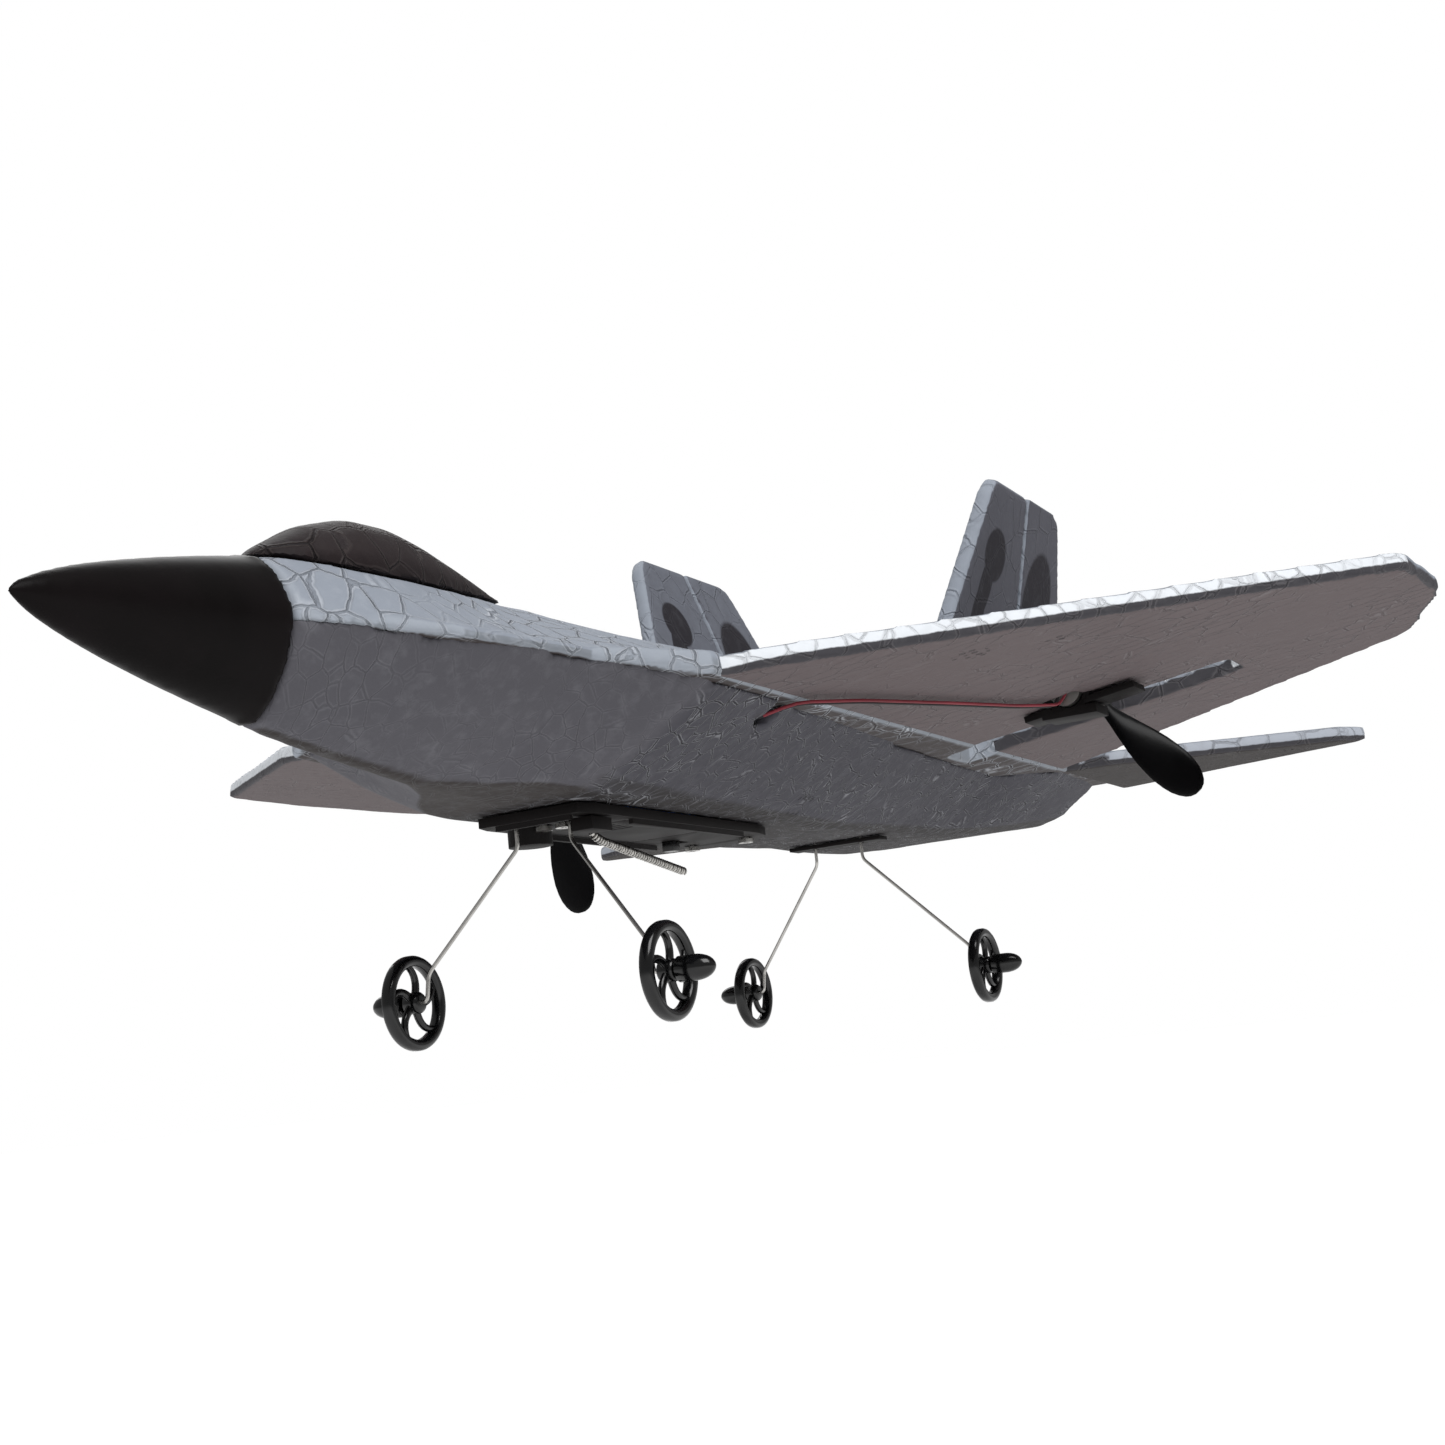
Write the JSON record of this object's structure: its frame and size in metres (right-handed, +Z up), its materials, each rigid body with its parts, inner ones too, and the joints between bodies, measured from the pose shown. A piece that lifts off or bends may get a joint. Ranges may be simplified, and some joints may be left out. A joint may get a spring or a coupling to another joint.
{
  "type": "rc foam airplane",
  "caption": "Twin-pusher foam jet glider with swept wings, canted twin fins, wire landing gear and small wheels.",
  "frame": {"origin": "on the ground plane under the middle of the airframe's length and span, wheels touching it", "axes": "+X to port (the left wing), -Y to the nose, +Z up"},
  "size_m": [0.2968, 0.362, 0.1245],
  "materials": {
    "foam_top": "moulded foam, light grey paint",
    "foam_under": "moulded foam, dark grey paint",
    "foam_wing": "moulded foam sheet, grey paint",
    "foam_fin": "moulded foam sheet, grey paint with dark blobs",
    "nose_black": "satin soft plastic",
    "canopy_black": "moulded foam, black paint",
    "tray_black": "satin moulded plastic",
    "gloss_black": "gloss moulded plastic",
    "wire_steel": "bright drawn spring wire",
    "motor_can": "plated motor can",
    "cell_wrap": "shrink film over a flat cell",
    "board_green": "solder mask",
    "lead_red": "soft wire insulation",
    "lead_black": "soft wire insulation"
  },
  "bodies": {
    "airframe": {"nose_cone": "nose_black", "canopy": "canopy_black", "fuselage_top": "foam_top", "fuselage_lower": "foam_under", "wing_left": "foam_wing", "wing_right": "foam_wing", "stab_left": "foam_wing", "stab_right": "foam_wing", "fin_left": "foam_fin", "fin_right": "foam_fin", "undertray": "tray_black", "battery_hatch": "tray_black", "battery": "cell_wrap", "receiver_board": "board_green", "charge_socket": "tray_black", "antenna": "wire_steel", "tray_screw_1": "wire_steel", "tray_screw_2": "wire_steel", "tray_screw_3": "wire_steel", "tray_screw_4": "wire_steel", "rear_gear_plate": "tray_black", "motor_mount_left": "tray_black", "motor_mount_right": "tray_black", "motor_left": "motor_can", "motor_right": "motor_can", "lead_red_left": "lead_red", "lead_red_right": "lead_red", "lead_black_left": "lead_black", "lead_black_right": "lead_black", "front_leg_left": "wire_steel", "hub_cap_front_left": "gloss_black", "front_leg_right": "wire_steel", "hub_cap_front_right": "gloss_black", "rear_leg_left": "wire_steel", "hub_cap_rear_left": "gloss_black", "rear_leg_right": "wire_steel", "hub_cap_rear_right": "gloss_black"},
    "propeller_left": {"prop_left": "gloss_black"},
    "propeller_right": {"prop_right": "gloss_black"},
    "rudder_left": {"rudder_left": "foam_fin"},
    "rudder_right": {"rudder_right": "foam_fin"},
    "wheel_front_left": {"wheel_front_left": "gloss_black"},
    "wheel_front_right": {"wheel_front_right": "gloss_black"},
    "wheel_rear_left": {"wheel_rear_left": "gloss_black"},
    "wheel_rear_right": {"wheel_rear_right": "gloss_black"},
    "switch_knob": {"power_switch": "gloss_black"}
  },
  "joints": [
    {"name": "propeller_left_spin", "type": "hinge", "parent": "airframe", "child": "propeller_left", "pos_m": [0.0724, 0.0655, 0.06275], "axis": [0, 1, 0], "continuous": true},
    {"name": "propeller_right_spin", "type": "hinge", "parent": "airframe", "child": "propeller_right", "pos_m": [-0.0724, 0.0655, 0.06275], "axis": [0, 1, 0], "continuous": true},
    {"name": "rudder_left_hinge", "type": "hinge", "parent": "airframe", "child": "rudder_left", "pos_m": [0.04101, 0.107, 0.09534], "axis": [0.2784, -0.1655, 0.9461], "range_deg": [-15, 15]},
    {"name": "rudder_right_hinge", "type": "hinge", "parent": "airframe", "child": "rudder_right", "pos_m": [-0.04101, 0.107, 0.09534], "axis": [-0.2784, -0.1655, 0.9461], "range_deg": [-15, 15]},
    {"name": "wheel_front_left_spin", "type": "hinge", "parent": "airframe", "child": "wheel_front_left", "pos_m": [0.027, -0.063, 0.00875], "axis": [1, 0, 0], "continuous": true},
    {"name": "wheel_front_right_spin", "type": "hinge", "parent": "airframe", "child": "wheel_front_right", "pos_m": [-0.027, -0.063, 0.00875], "axis": [1, 0, 0], "continuous": true},
    {"name": "wheel_rear_left_spin", "type": "hinge", "parent": "airframe", "child": "wheel_rear_left", "pos_m": [0.031, 0.085, 0.00875], "axis": [1, 0, 0], "continuous": true},
    {"name": "wheel_rear_right_spin", "type": "hinge", "parent": "airframe", "child": "wheel_rear_right", "pos_m": [-0.031, 0.085, 0.00875], "axis": [1, 0, 0], "continuous": true},
    {"name": "switch_slide", "type": "slide", "parent": "airframe", "child": "switch_knob", "axis": [0, 1, 0], "range_m": [0, 0.002]}
  ]
}
